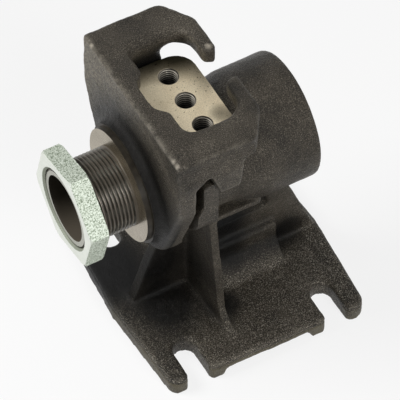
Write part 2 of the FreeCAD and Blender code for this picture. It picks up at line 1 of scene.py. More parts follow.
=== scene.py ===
import math
import bmesh
import bpy
import numpy as np
from mathutils import Matrix, Vector, noise

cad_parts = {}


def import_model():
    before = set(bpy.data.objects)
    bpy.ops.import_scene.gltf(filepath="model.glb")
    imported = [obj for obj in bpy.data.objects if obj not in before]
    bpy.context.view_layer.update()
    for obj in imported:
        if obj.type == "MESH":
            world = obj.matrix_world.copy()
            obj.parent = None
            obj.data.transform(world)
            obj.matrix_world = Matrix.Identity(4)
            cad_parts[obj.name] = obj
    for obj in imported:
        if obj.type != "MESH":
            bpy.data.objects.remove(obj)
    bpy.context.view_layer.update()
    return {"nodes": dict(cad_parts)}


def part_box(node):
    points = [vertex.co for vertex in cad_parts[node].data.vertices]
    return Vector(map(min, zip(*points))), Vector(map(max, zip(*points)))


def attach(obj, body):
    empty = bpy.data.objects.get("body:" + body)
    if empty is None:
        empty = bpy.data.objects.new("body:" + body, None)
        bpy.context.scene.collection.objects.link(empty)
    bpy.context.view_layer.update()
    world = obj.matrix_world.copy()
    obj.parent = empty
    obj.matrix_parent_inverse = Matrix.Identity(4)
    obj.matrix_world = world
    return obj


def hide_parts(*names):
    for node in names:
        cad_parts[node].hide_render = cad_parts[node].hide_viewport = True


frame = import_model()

# The two castings are made as a foundry makes them: a raw body with all bores filled, its inner
# corners filleted and its skin uneven, is then faced, bored and threaded by exact cutters.
# All meshes are worked on in millimetres and scaled to metres at the end.
MM = 0.001
JOIN = 0.0001                  # points nearer to each other than this are one
SHARP_ANGLE = 32               # degrees; edges that turn by more are shaded sharp

# Pipe run, as in the part's source
AXIS_HEIGHT = 121.0
BORE_RADIUS = 19.8
THREAD_RADIUS = 23.9
THREAD_GAP = 0.05              # clearance round the nipple and behind its end
PITCH = 25.4 / 11              # pipe thread, 11 threads per inch
THREAD_DEPTH = 0.64 * PITCH
CLAW_FACE = -0.5
CLAW_FRONT = -13.5
CLAW_ROOF = 188.2
BOSS_FRONT = -22.0
BOSS_RADIUS = 35.2
BOSS_TURNED_LENGTH = 3.4       # of the boss's turned rim
BOSS_TURNED_RADIUS = 33.7
NIPPLE_FRONT = -55.1
NIPPLE_REAR = -7.5
SEAL_GROOVE_FLOOR = -5.5
SEAL_GROOVE_INNER = 25.45
SEAL_GROOVE_OUTER = 33.05
SOCKET_END = 85.5
OUTLET_CORE = 28.4
OUTLET_THREAD = 26.0           # length of the outlet's thread

# Tapped holes in the pad
PAD_TOP = 169.4
BRACKET_CORE = 5.1
BRACKET_PITCH = 1.75           # M12
BRACKET_THREAD = 0.61 * BRACKET_PITCH
BRACKET_DEPTH = 24.0
BRACKET_X = 20.5
BRACKET_SPACING = 19.3

# Locknut
NUT_FRONT = -56.2
NUT_BACK = -44.6
NUT_ACROSS_FLATS = 60.0
NUT_TURN = 167.0               # degrees from Y to a corner
NUT_FACE_SHARE = 0.7           # how far the flat face reaches from the flats to the corners
NUT_CHAMFER = 30.0             # degrees
CRINKLE_HEIGHT = 0.09          # of the flats' crinkled skin
CRINKLE_LENGTH = 0.9

# Base plate
BASE_THICKNESS = 12.0
BASE_SIDE = 62.0               # its outer side faces lie further out than this
BASE_FRONT = -20.0
BASE_REAR = 99.0
FLASH_HEIGHT = 8.7             # parting line round it
FLASH_DEPTH = 0.6
FLASH_WIDTH = 0.8

# Places of painted shade on the castings, the pad's painted dark reflection, and the claw's bare spots,
# partly painted highlights, each of these with its reach in metres
# painted shade under the claw and round the front rib
FRONT_PAINTED_SHADE = [
    (-16.0, 20.0, 14.0),
    (-22.0, 34.0, 12.0),
    (-20.0, 28.0, 12.0),
    (0.0, -10.0, 40.0),
    (0.0, -14.0, 12.0),
]
# painted shade under the shelf and down the web's near face
REAR_PAINTED_SHADE = [
    (40.0, -6.0, 36.0),
    (54.0, -4.0, 70.0),
    (38.0, -4.0, 66.0),
    (46.0, -4.0, 56.0),
]
# painted shade along the foot of the web and beside the buttress
WEB_PAINTED_SHADE = [
    (46.0, -6.0, 18.0),
    (60.0, -5.0, 18.0),
    (74.0, -5.0, 18.0),
    (86.0, -4.0, 19.0),
    (28.0, -30.0, 13.0),
]
# painted shade in the claw's pocket under the far arm's rim and by the hooks
POCKET_PAINTED_SHADE = [
    (8.0, 31.0, 167.0),
    (20.0, 31.0, 167.0),
    (35.0, -20.0, 178.0),
    (35.0, 24.0, 172.0),
]
# painted dark reflection of the near hook on the pad
PAD_PAINTED_REFLECTION = (33.0, -17.0, 169.4)
# bare rubbed spots at the claw's front corners and a hook tip, also painted highlights
BARE_AND_HIGHLIGHT_SPOTS = [
    ((-13.0, -51.0, 188.0), 0.0024),
    ((-13.3, -47.0, 188.0), 0.0021),
    ((-13.0, 45.0, 188.0), 0.0019),
    ((42.5, 14.0, 188.0), 0.0022),
]
PAINTED_SHADE_GREY = 0.08               # what the painted shade leaves of the iron's colour
CAST_SPECULAR = 0.18           # the castings' oily skin scarcely mirrors

# Raw castings
WELD = 0.001                   # joins the points of the CAD's mesh
VOXEL = 0.75
EASE_STEPS = 4                 # passes that take off the voxels' steps and keep the size
EASE_IN = 0.5
EASE_OUT = 0.52
FILLET_STEPS = 22              # passes that fill inner corners
FILLET_FILL = 0.6
FILLET_SLIDE = 0.3
ROLL_STEPS = 150               # passes that soften rolled rims
ROLL_BORDER = 3.0              # over which the softening fades
BEND_STEPS = 2                 # passes that even out the measured bend of the skin
FOOT_SKIN = [(14, 0.3), (5, 0.14), (1.8, 0.1)]     # (wavelength, height) layers of uneven skin
CLAW_SKIN = [(14, 0.3), (5, 0.2), (1.8, 0.1)]
FOOT_SEED = 1.7
CLAW_SEED = 5.3

# Boxes as (low, high) corners: slot in a cheek, inner rim of an arm, its hook
CHEEK_SLOT = ((-7, -60, AXIS_HEIGHT + 8), (17, -33, AXIS_HEIGHT + 54))
ARM_RIM = ((5, 27, 171), (31, 35, 190))
HOOK_RIM = ((31, 6, 171), (40.5, 34, 190))
HOOK_AMOUNT = 0.2              # hooks are softened less than the arms

# Plugs that fill the bores before they are cut: start, end and radius, or a box
FOOT_PLUG = (2, SOCKET_END - 1, OUTLET_CORE + 4)
CLAW_PLUG = (BOSS_FRONT, CLAW_FACE - 0.2, 34)
HOLES_PLUG = ((12, -26, 125), (29, 26, PAD_TOP - 0.2))

# Facing cuts
X = 0                          # axes by their index
Z = 2
SKIM = 0.02                    # they go this deep under the CAD's face
PAST = 5                       # and reach this far past the iron
JOINT_SKIN = 37.5              # radius of the skin that is faced at the foot's joint
JOINT_CUTTER = 41
SOCKET_CUTTER = 45
BOSS_CUTTER = 40
RIM_CUTTER = 44
PAD_CUTTER = ((-PAST, -40, PAD_TOP - SKIM), (50, 40, PAD_TOP + PAST))
BORE_START = -60               # ahead of all iron

# Camera of the photograph
AZIMUTH = -29.04
ELEVATION = 52.0
TARGET = Vector((0.02036, -0.01636, 0.1))
DISTANCE = 1.67287
LENS = 270.0
SENSOR_WIDTH = 36.0
CLIP_END = 100.0

# Light and floor, in metres
AMBIENT = 0.1                  # light of the world on the object
LAMP_SIZE = 0.7
LAMP_AIM = Vector((0.03, 0, 0.1))
FLOOR_GREY = 0.5               # of the floor that lights the object
FLOOR_PALE = 0.93              # of the floor that is seen
FLOOR_GLOW = 0.8               # share of plain white in the floor that is seen
FLOOR_SIZE = 8.0
FLOOR_DROP = 0.0002


# Mesh helpers

def new_object(name, data):
    obj = bpy.data.objects.new(name, data)
    bpy.context.scene.collection.objects.link(obj)
    return obj


def evaluated(obj):
    """Mesh of an object with its modifiers applied."""
    depsgraph = bpy.context.evaluated_depsgraph_get()
    return bpy.data.meshes.new_from_object(obj.evaluated_get(depsgraph))


def apply_modifiers(obj):
    mesh = evaluated(obj)
    obj.modifiers.clear()
    old = obj.data
    obj.data = mesh
    bpy.data.meshes.remove(old)


def coordinates(mesh):
    co = np.empty(len(mesh.vertices) * 3, np.float32)
    mesh.vertices.foreach_get("co", co)
    return co.reshape(-1, 3).astype(float)


def set_coordinates(mesh, co):
    mesh.vertices.foreach_set("co", co.astype(np.float32).ravel())
    mesh.update()


def quads_of(mesh):
    quads = np.empty(len(mesh.polygons) * 4, np.int32)
    mesh.polygons.foreach_get("vertices", quads)
    return quads.reshape(-1, 4)


def store(mesh, name, values):
    mesh.attributes.new(name, "FLOAT", "POINT").data.foreach_set("value", values.astype(np.float32))


def grid_mesh(name, rings, caps=True):
    """Skin over rings of points, each an array of the same length, closed by caps if asked to."""
    rings = np.asarray(rings, float)
    count, around = rings.shape[:2]
    verts = [tuple(p) for ring in rings for p in ring]
    faces = []
    for i in range(count - 1):
        for j in range(around):
            k = (j + 1) % around
            faces.append((i * around + j, i * around + k, (i + 1) * around + k, (i + 1) * around + j))
    if caps:
        faces.append(tuple(range(around))[::-1])
        faces.append(tuple((count - 1) * around + j for j in range(around)))
    mesh = bpy.data.meshes.new(name)
    mesh.from_pydata(verts, [], faces)
    mesh.update()
    return mesh


def outward(mesh, join=False):
    """Turns all faces outward, and first joins points that lie on each other if asked to."""
    work = bmesh.new()
    work.from_mesh(mesh)
    if join:
        bmesh.ops.remove_doubles(work, verts=work.verts, dist=JOIN)
    bmesh.ops.recalc_face_normals(work, faces=work.faces)
    work.to_mesh(mesh)
    work.free()
    return mesh


def ring_mesh(name, rings):
    """Skin over rings that ends where it starts, so it needs no caps."""
    return outward(grid_mesh(name, rings + rings[:1], caps=False), join=True)


def full_turn(segments):
    return np.linspace(0, 2 * math.pi, segments, endpoint=False)


def ring_x(x, radius, angles):
    """Ring round the pipe axis; x and radius may differ from point to point."""
    x = np.broadcast_to(x, angles.shape)
    radius = np.broadcast_to(radius, angles.shape)
    return np.stack([x, radius * np.cos(angles), AXIS_HEIGHT + radius * np.sin(angles)], axis=1)


def ring_z(x, y, z, radius, angles):
    """Level ring round an upright line."""
    return np.stack([x + radius * np.cos(angles), y + radius * np.sin(angles),
                     np.full(len(angles), z)], axis=1)


def bored(name, x0, x1, radius, segments=128):
    """Cylinder on the pipe axis."""
    angles = full_turn(segments)
    return outward(grid_mesh(name, [ring_x(x0, radius, angles), ring_x(x1, radius, angles)]))


def turned_ring(name, profile, segments=128):
    """Ring of revolution round the pipe axis from a closed run of (x, radius) points."""
    angles = full_turn(segments)
    return ring_mesh(name, [ring_x(x, radius, angles) for x, radius in profile])


def box_mesh(name, low, high):
    work = bmesh.new()
    bmesh.ops.create_cube(work, size=1)
    for v in work.verts:
        for i in range(3):
            v.co[i] = low[i] if v.co[i] < 0 else high[i]
    mesh = bpy.data.meshes.new(name)
    work.to_mesh(mesh)
    work.free()
    return mesh


def thread_height(phase, crest=0.14, root=0.14):
    """Height of a V thread at a place along its pitch, from 0 in the root to 1 on the crest."""
    phase = np.mod(phase, 1.0)
    flank = (1 - crest - root) / 2
    rise = (phase - root / 2) / flank
    fall = (1 - root / 2 - phase) / flank
    return np.clip(np.minimum(rise, fall), 0, 1)


# Castings

def neighbour_means(edges, co, degree):
    total = np.zeros_like(co)
    for axis in range(3):
        total[:, axis] = np.bincount(edges[:, 0], co[edges[:, 1], axis], len(co))
        total[:, axis] += np.bincount(edges[:, 1], co[edges[:, 0], axis], len(co))
    return total / degree[:, None]


def smooth_part(edges, co, amount, steps):
    """Smooths the points whose amount is over 0, in place, and leaves the rest as it is."""
    near = edges[(amount[edges] > 0).any(axis=1)]
    used, compact = np.unique(near, return_inverse=True)
    near = compact.reshape(near.shape)
    part = co[used]
    degree = np.bincount(near.ravel(), minlength=len(used)).astype(float)
    share = 0.5 * amount[used][:, None]
    for _ in range(steps):
        part += share * (neighbour_means(near, part, degree) - part)
    co[used] = part


def vertex_normals(quads, co):
    diagonal_a = co[quads[:, 2]] - co[quads[:, 0]]
    diagonal_b = co[quads[:, 3]] - co[quads[:, 1]]
    face = np.cross(diagonal_a, diagonal_b)
    normal = np.zeros_like(co)
    for corner in range(4):
        for axis in range(3):
            normal[:, axis] += np.bincount(quads[:, corner], face[:, axis], len(co))
    return normal / np.maximum(np.linalg.norm(normal, axis=1), 1e-9)[:, None]


def outside(co, boxes, blend=1.5):
    """1 outside all boxes, given as (low, high) corners, and 0 inside, with a soft border."""
    weight = np.ones(len(co))
    for low, high in boxes:
        apart = np.maximum(np.array(low) - co, co - np.array(high)).max(axis=1)
        weight = np.minimum(weight, np.clip(apart / blend, 0, 1))
    return weight


def both_sides(low, high):
    """The box and its mirror image across the plane Y = 0."""
    return [(low, high), ((low[0], -high[1], low[2]), (high[0], -low[1], high[2]))]


def raw_casting(name, node, plugs, sharp, rolled):
    """Cast body of a CAD node with its bores filled: inner corners filleted, outer edges eased.

    Inner corners in the sharp boxes stay as they are; edges in the rolled boxes, each given with
    an amount, become softer.
    """
    work = bmesh.new()
    source = frame["nodes"][node].data.copy()
    source.transform(Matrix.Scale(1 / MM, 4))
    work.from_mesh(source)
    bmesh.ops.remove_doubles(work, verts=work.verts, dist=WELD)
    for plug in plugs:
        work.from_mesh(plug)
    mesh = bpy.data.meshes.new(name)
    work.to_mesh(mesh)
    work.free()
    obj = new_object(name, mesh)
    remesh = obj.modifiers.new("skin", "REMESH")
    remesh.mode = "VOXEL"
    remesh.voxel_size = VOXEL
    apply_modifiers(obj)
    mesh = obj.data
    co = coordinates(mesh)
    edges = np.empty(len(mesh.edges) * 2, np.int32)
    mesh.edges.foreach_get("vertices", edges)
    edges = edges.reshape(-1, 2)
    quads = quads_of(mesh)
    degree = np.bincount(edges.ravel(), minlength=len(co)).astype(float)
    fill_amount = outside(co, sharp)
    roll_amount = np.zeros(len(co))
    for box, amount in rolled:
        roll_amount = np.maximum(roll_amount, amount * (1 - outside(co, [box], ROLL_BORDER)))
    for _ in range(EASE_STEPS):
        co += EASE_IN * (neighbour_means(edges, co, degree) - co)
        co -= EASE_OUT * (neighbour_means(edges, co, degree) - co)
    for _ in range(FILLET_STEPS):
        normal = vertex_normals(quads, co)
        pull = neighbour_means(edges, co, degree) - co
        along = np.einsum("ij,ij->i", pull, normal)
        fill = np.maximum(along, 0) * fill_amount
        side = pull - along[:, None] * normal
        co += FILLET_FILL * fill[:, None] * normal + FILLET_SLIDE * side
    smooth_part(edges, co, roll_amount, ROLL_STEPS)
    co += EASE_IN * (neighbour_means(edges, co, degree) - co)
    set_coordinates(mesh, co)
    normal = vertex_normals(quads, co)
    pull = neighbour_means(edges, co, degree) - co
    bend = -4 / VOXEL ** 2 * np.einsum("ij,ij->i", pull, normal)
    bend = np.repeat(bend[:, None], 3, axis=1)
    for _ in range(BEND_STEPS):
        bend = neighbour_means(edges, bend, degree)
    store(mesh, "bend", bend[:, 0])
    return obj


def raised(obj, axis, sign, place, reach=1.6, shift=0.8, radius=None):
    """Lifts skin that is going to be machined off, so that the cutter meets all of it."""
    mesh = obj.data
    co = coordinates(mesh)
    normal = vertex_normals(quads_of(mesh), co)
    amount = np.clip((sign * normal[:, axis] - 0.5) / 0.35, 0, 1)
    amount *= sign * (co[:, axis] - place) > -reach
    if radius is not None:
        amount *= np.hypot(co[:, 1], co[:, 2] - AXIS_HEIGHT) < radius
    co[:, axis] += sign * shift * amount
    set_coordinates(mesh, co)


def roughen(obj, layers, seed):
    """Uneven skin of a sand casting, as (wavelength, height) layers of noise along the normals."""
    mesh = obj.data
    co = coordinates(mesh)
    normal = vertex_normals(quads_of(mesh), co)
    offset = Vector((seed, 2 * seed, 3 * seed))
    height = np.zeros(len(co))
    for wavelength, size in layers:
        height += size * np.array([noise.noise(Vector(p) / wavelength + offset) for p in co])
    set_coordinates(mesh, co + height[:, None] * normal)


def parting_line(obj):
    """Groove round the outer sides of the base plate; the strip below it is marked to be paler.

    Of the foot's measured bend only that of these sides is kept.
    """
    mesh = obj.data
    co = coordinates(mesh)
    normal = vertex_normals(quads_of(mesh), co)
    outer = (np.abs(co[:, 1]) > BASE_SIDE) | (co[:, 0] < BASE_FRONT) | (co[:, 0] > BASE_REAR)
    weight = np.clip((np.hypot(normal[:, 0], normal[:, 1]) - 0.5) / 0.3, 0, 1)
    weight *= outer & (co[:, 2] < BASE_THICKNESS + 1)
    groove = FLASH_DEPTH * np.exp(-((co[:, 2] - FLASH_HEIGHT) / FLASH_WIDTH) ** 2)
    set_coordinates(mesh, co - (groove * weight)[:, None] * normal)
    store(mesh, "below_parting_line", weight * np.clip(FLASH_HEIGHT - co[:, 2], 0, 1))
    bend = np.empty(len(co), np.float32)
    mesh.attributes["bend"].data.foreach_get("value", bend)
    mesh.attributes["bend"].data.foreach_set("value", bend * outer.astype(np.float32))


def kept_inside(obj, node):
    """Holds a rough skin inside the box of its CAD node."""
    low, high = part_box(node)
    co = coordinates(obj.data)
    set_coordinates(obj.data, np.clip(co, np.array(low) / MM, np.array(high) / MM))


def cut(obj, mesh, material):
    """Takes the closed mesh away from obj; the new faces get the material."""
    mesh.materials.clear()
    mesh.materials.append(material)
    cutter = new_object("cutter", mesh)
    modifier = obj.modifiers.new("cut", "BOOLEAN")
    modifier.operation = "DIFFERENCE"
    modifier.solver = "EXACT"
    modifier.material_mode = "TRANSFER"
    modifier.object = cutter
    apply_modifiers(obj)
    bpy.data.objects.remove(cutter)


def threaded_hole(name, x, y):
    """Cutter for a tapped hole in the pad: drill's point, thread and countersunk mouth."""
    per_pitch = 8
    past = 1.5                 # above the pad
    plain = 3.0                # bottom without a thread
    point = 3.0
    point_radius = 0.05
    sink = BRACKET_CORE + BRACKET_THREAD - 0.2
    angles = full_turn(40)
    turn = angles / (2 * math.pi)
    bottom = PAD_TOP - BRACKET_DEPTH
    length = BRACKET_DEPTH + past
    rings = [ring_z(x, y, bottom - point, point_radius, angles)]
    rows = int(length / BRACKET_PITCH * per_pitch)
    for row in range(rows + 1):
        z = bottom + length * row / rows
        height = thread_height(z / BRACKET_PITCH - turn, crest=0.2, root=0.3)
        radius = BRACKET_CORE + BRACKET_THREAD * height
        radius = np.where(z < bottom + plain, BRACKET_CORE, radius)
        radius = np.maximum(radius, sink + (z - PAD_TOP))
        rings.append(ring_z(x, y, z, radius, angles))
    return outward(grid_mesh(name, rings))


def outlet_thread(name):
    """Cutter for the discharge socket: bore, run-out cone, female pipe thread and chamfer."""
    per_pitch = 8
    past = 1.0                 # behind the socket, and ahead of the joint face
    chamfer = 2.0
    angles = full_turn(160)
    turn = angles / (2 * math.pi)
    start = SOCKET_END - OUTLET_THREAD
    length = OUTLET_THREAD + past
    rings = [
        ring_x(-past, BORE_RADIUS, angles),
        ring_x(start - (OUTLET_CORE - BORE_RADIUS), BORE_RADIUS, angles),
        ring_x(start, OUTLET_CORE, angles),
    ]
    rows = int(length / PITCH * per_pitch)
    for row in range(1, rows + 1):
        x = start + length * row / rows
        radius = OUTLET_CORE + THREAD_DEPTH * thread_height(x / PITCH - turn)
        radius = np.where(x < start + PITCH, OUTLET_CORE, radius)
        radius = np.maximum(radius, OUTLET_CORE + chamfer + (x - SOCKET_END))
        rings.append(ring_x(x, radius, angles))
    return outward(grid_mesh(name, rings))


def finished(obj, name, body, node):
    """Scales a mesh to metres, shades it and fixes it on its body in place of a CAD node."""
    mesh = obj.data
    mesh.transform(Matrix.Scale(MM, 4))
    mesh.name = name
    obj.name = name
    mesh.shade_smooth()
    mesh.set_sharp_from_angle(angle=math.radians(SHARP_ANGLE))
    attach(obj, body)
    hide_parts(node)


# Materials

class Nodes:
    """Short way to write a node tree."""

    def __init__(self, name):
        self.material = bpy.data.materials.new(name)
        self.material.use_nodes = True
        self.tree = self.material.node_tree
        self.shader = self.tree.nodes["Principled BSDF"]
        self.place = self.add("ShaderNodeTexCoord").outputs["Object"]

    def add(self, kind, **values):
        node = self.tree.nodes.new(kind)
        for key, value in values.items():
            setattr(node, key, value)
        return node

    def link(self, output, socket):
        self.tree.links.new(output, socket)

    def noise(self, scale, detail=3.0, roughness=0.6):
        node = self.add("ShaderNodeTexNoise")
        node.inputs["Scale"].default_value = scale
        node.inputs["Detail"].default_value = detail
        node.inputs["Roughness"].default_value = roughness
        self.link(self.place, node.inputs["Vector"])
        return node.outputs["Fac"]

    def attribute(self, name):
        """Number that the mesh stores at its vertices."""
        return self.add("ShaderNodeAttribute", attribute_name=name).outputs["Fac"]

    def vector(self, operation, a, b):
        node = self.add("ShaderNodeVectorMath", operation=operation)
        for socket, value in zip(node.inputs, (a, b)):
            if isinstance(value, tuple):
                socket.default_value = value
            else:
                self.link(value, socket)
        return node

    def along(self, direction, start):
        """Number that grows by one over each length along a direction given per metre."""
        dot = self.vector("DOT_PRODUCT", self.place, direction).outputs["Value"]
        return self.math("ADD", dot, start)

    def distance(self, point):
        """Distance in metres to a point given in millimetres."""
        place = tuple(value * MM for value in point)
        return self.vector("DISTANCE", self.place, place).outputs["Value"]

    def axis_distance(self):
        """Distance in metres to the pipe axis."""
        flat = self.vector("MULTIPLY", self.place, (0.0, 1.0, 1.0)).outputs["Vector"]
        return self.vector("DISTANCE", flat, (0.0, 0.0, AXIS_HEIGHT * MM)).outputs["Value"]

    def column_distance(self, x, y):
        """Distance in metres to an upright line, its place given in millimetres."""
        flat = self.vector("MULTIPLY", self.place, (1.0, 1.0, 0.0)).outputs["Vector"]
        return self.vector("DISTANCE", flat, (x * MM, y * MM, 0.0)).outputs["Value"]

    def edge_distance(self, x, z):
        """Distance in metres to a line along Y, its place given in millimetres."""
        flat = self.vector("MULTIPLY", self.place, (1.0, 0.0, 1.0)).outputs["Vector"]
        return self.vector("DISTANCE", flat, (x * MM, 0.0, z * MM)).outputs["Value"]

    def toward(self, direction):
        """1 on faces that look along the direction, 0 beside it and -1 on the opposite ones."""
        normal = self.add("ShaderNodeTexCoord").outputs["Normal"]
        return self.vector("DOT_PRODUCT", normal, direction).outputs["Value"]

    def facing_x(self):
        """1 on faces square to the pipe axis, 0 along it."""
        return self.math("ABSOLUTE", self.toward((1.0, 0.0, 0.0)), 0.0)

    def painted_shade(self, places, core, reach):
        """Painted shade: 1 on iron out of shade, falling to dark within the reach, in metres, of any of the
        places.
        """
        result = (1.0, 1.0, 1.0)
        for place in places:
            shade = self.ramp(self.distance(place), [(core, PAINTED_SHADE_GREY), (reach, 1.0)])
            result = self.times(result, shade)
        return result

    def ramp(self, value, stops):
        """Colour ramp from (position, colour) stops; a number stands for a grey."""
        node = self.add("ShaderNodeValToRGB")
        elements = node.color_ramp.elements
        while len(elements) < len(stops):
            elements.new(0.5)
        for element, (position, colour) in zip(elements, stops):
            if isinstance(colour, (int, float)):
                colour = (colour, colour, colour)
            element.position = position
            element.color = (*colour, 1)
        self.link(value, node.inputs["Fac"])
        return node.outputs["Color"]

    def math(self, operation, a, b):
        node = self.add("ShaderNodeMath", operation=operation)
        for socket, value in zip(node.inputs, (a, b)):
            if isinstance(value, (int, float)):
                socket.default_value = value
            else:
                self.link(value, socket)
        return node.outputs[0]

    def mix(self, factor, a, b, blend="MIX"):
        node = self.add("ShaderNodeMix", data_type="RGBA", blend_type=blend)
        for socket, value in ((node.inputs["Factor"], factor), (node.inputs["A"], a), (node.inputs["B"], b)):
            if isinstance(value, (int, float)):
                socket.default_value = value
            elif isinstance(value, tuple):
                socket.default_value = (*value, 1)
            else:
                self.link(value, socket)
        return node.outputs["Result"]

    def times(self, a, b):
        """Product of two colours."""
        return self.mix(1.0, a, b, "MULTIPLY")

    def bump(self, height, strength, distance):
        node = self.add("ShaderNodeBump")
        node.inputs["Strength"].default_value = strength
        node.inputs["Distance"].default_value = distance
        self.link(height, node.inputs["Height"])
        return node.outputs["Normal"]

    def fine(self):
        """Noise as fine as the marks that a cutting tool leaves."""
        return self.noise(1500, 2, 0.5)

    def tool_marks(self, strength):
        """Bump of those marks."""
        return self.bump(self.fine(), strength, 0.0001)

    def surface(self, colour=None, roughness=None, normal=None, metallic=0.0, specular=0.5):
        self.shader.inputs["Specular IOR Level"].default_value = specular
        pairs = ((colour, "Base Color"), (roughness, "Roughness"), (normal, "Normal"), (metallic, "Metallic"))
        for value, socket in pairs:
            if value is None:
                continue
            if isinstance(value, tuple):
                self.shader.inputs[socket].default_value = (*value, 1)
            elif isinstance(value, (int, float)):
                self.shader.inputs[socket].default_value = value
            else:
                self.link(value, self.shader.inputs[socket])
        return self.material


def cast_grain(n):
    """Oiled sand-cast iron: colour, share of bare metal, roughness and bump of its grain.

    The base plate's grain is the coarsest and glitters most.
    """
    grain = n.noise(1700, 3, 0.75)
    patches = n.noise(38, 4, 0.65)
    base = n.ramp(patches, [
        (0.34, (0.028, 0.024, 0.018)),
        (0.5, (0.052, 0.044, 0.033)),
        (0.68, (0.08, 0.069, 0.053)),
    ])
    low = n.ramp(n.along((0.0, 0.0, 20.0), 0.0), [(0.3, 1.0), (0.7, 0.0)])
    mottled = n.times(base, n.ramp(grain, [(0.36, 0.1), (0.47, 0.6), (0.53, 1.3), (0.62, 3.2)]))
    calm = n.times(base, n.ramp(grain, [(0.36, 0.3), (0.5, 0.82), (0.62, 2.1)]))
    colour = n.mix(low, calm, mottled)
    glint = n.math("MULTIPLY", n.ramp(grain, [(0.58, 0.0), (0.66, 1.0)]), n.math("ADD", 0.35, low))
    colour = n.mix(glint, colour, (0.42, 0.39, 0.33))
    rough = n.ramp(grain, [(0.35, 0.45), (0.7, 0.28)])
    height = n.math("ADD", grain, n.math("MULTIPLY", n.noise(300, 3, 0.6), 0.7))
    return colour, glint, rough, n.bump(height, 0.8, 0.0006)


def worn_and_highlit_edges(n, colour, pale):
    """Edges paler, partly rubbed wear and partly painted highlight, broken up by noise."""
    bend = n.ramp(n.attribute("bend"), [(0.14, 0.0), (0.5, 1.0)])
    wear_and_highlight = n.math("MULTIPLY", bend, n.ramp(n.noise(150, 4, 0.7), [(0.44, 0.0), (0.66, 0.8)]))
    return n.mix(wear_and_highlight, colour, pale)


def foot_iron():
    """Foot: painted shade in both bays and along the web's root, a paler strip round the base plate."""
    n = Nodes("foot_iron")
    colour, glint, rough, normal = cast_grain(n)
    # a paler strip below the parting line, in patches
    patchy = n.ramp(n.noise(90, 4, 0.6), [(0.35, 0.25), (0.6, 1.0)])
    below_parting_line = n.math("MULTIPLY", n.attribute("below_parting_line"), patchy)
    colour = n.mix(below_parting_line, colour, (0.125, 0.11, 0.075))
    # edges paler: rubbed wear and painted highlight
    colour = worn_and_highlit_edges(n, colour, (0.16, 0.145, 0.115))
    # painted shade in the bays, under the shelf and along the web's foot
    painted_shade = n.times(n.painted_shade(FRONT_PAINTED_SHADE, 0.012, 0.034), n.painted_shade(REAR_PAINTED_SHADE, 0.011, 0.022))
    painted_shade = n.times(painted_shade, n.painted_shade(WEB_PAINTED_SHADE, 0.007, 0.014))
    colour = n.times(colour, painted_shade)
    return n.surface(colour, rough, normal, n.math("MULTIPLY", glint, painted_shade), CAST_SPECULAR)


def claw_iron():
    """Claw: painted sheen on the front plate, painted shade round the boss and in the pocket, front edge worn
    bare and painted bright.
    """
    n = Nodes("claw_iron")
    colour, glint, rough, normal = cast_grain(n)
    # painted sheen: front faces grow paler towards their upper far side
    front = n.ramp(n.toward((-1.0, 0.0, 0.0)), [(0.75, 0.0), (0.95, 1.0)])
    pale = n.math("ADD", n.along((0.0, 11.0, 2.0), -0.1), n.math("MULTIPLY", n.noise(55, 3, 0.6), 0.4))
    pale = n.math("MULTIPLY", n.ramp(pale, [(0.2, 0.0), (0.85, 1.0)]), front)
    colour = n.mix(n.math("MULTIPLY", pale, 0.8), colour, (0.185, 0.162, 0.122))
    speckles = n.ramp(n.noise(1000, 3, 0.75), [(0.38, 0.3), (0.5, 0.9), (0.62, 1.8)])
    colour = n.mix(front, colour, n.times(colour, speckles))
    # painted shade round the boss on the front of the claw
    boss_painted_shade = n.ramp(n.axis_distance(), [(0.043, 0.08), (0.05, 0.4), (0.062, 1.0)])
    ahead = n.ramp(n.along((-100.0, 0.0, 0.0), 0.0), [(0.9, 0.0), (1.2, 1.0)])
    boss_painted_shade = n.mix(ahead, (1.0, 1.0, 1.0), boss_painted_shade)
    # painted shade in the pocket, multiplied in
    painted_shade = n.times(boss_painted_shade, n.painted_shade(POCKET_PAINTED_SHADE, 0.008, 0.0155))
    colour = n.times(colour, painted_shade)
    glint = n.math("MULTIPLY", glint, painted_shade)
    # edges paler: rubbed wear and painted highlight
    colour = worn_and_highlit_edges(n, colour, (0.19, 0.172, 0.14))
    # front top edge and the spots: worn bare metal, also painted as highlights
    line = n.ramp(n.edge_distance(CLAW_FRONT, CLAW_ROOF), [(0.0005, 0.25), (0.0009, 0.0)])
    wear_and_highlight = n.math("MULTIPLY", line, n.ramp(n.noise(170, 4, 0.7), [(0.42, 0.1), (0.56, 0.8)]))
    for place, reach in BARE_AND_HIGHLIGHT_SPOTS:
        spot = n.math("ADD", n.distance(place), n.math("MULTIPLY", n.noise(400, 3, 0.6), 0.003))
        wear_and_highlight = n.math("MAXIMUM", wear_and_highlight, n.ramp(spot, [(reach, 1.0), (reach + 0.0007, 0.0)]))
    colour = n.mix(wear_and_highlight, colour, (0.62, 0.56, 0.46))
    glint = n.math("MAXIMUM", glint, n.math("MULTIPLY", wear_and_highlight, 0.9))
    return n.surface(colour, rough, normal, glint, CAST_SPECULAR)


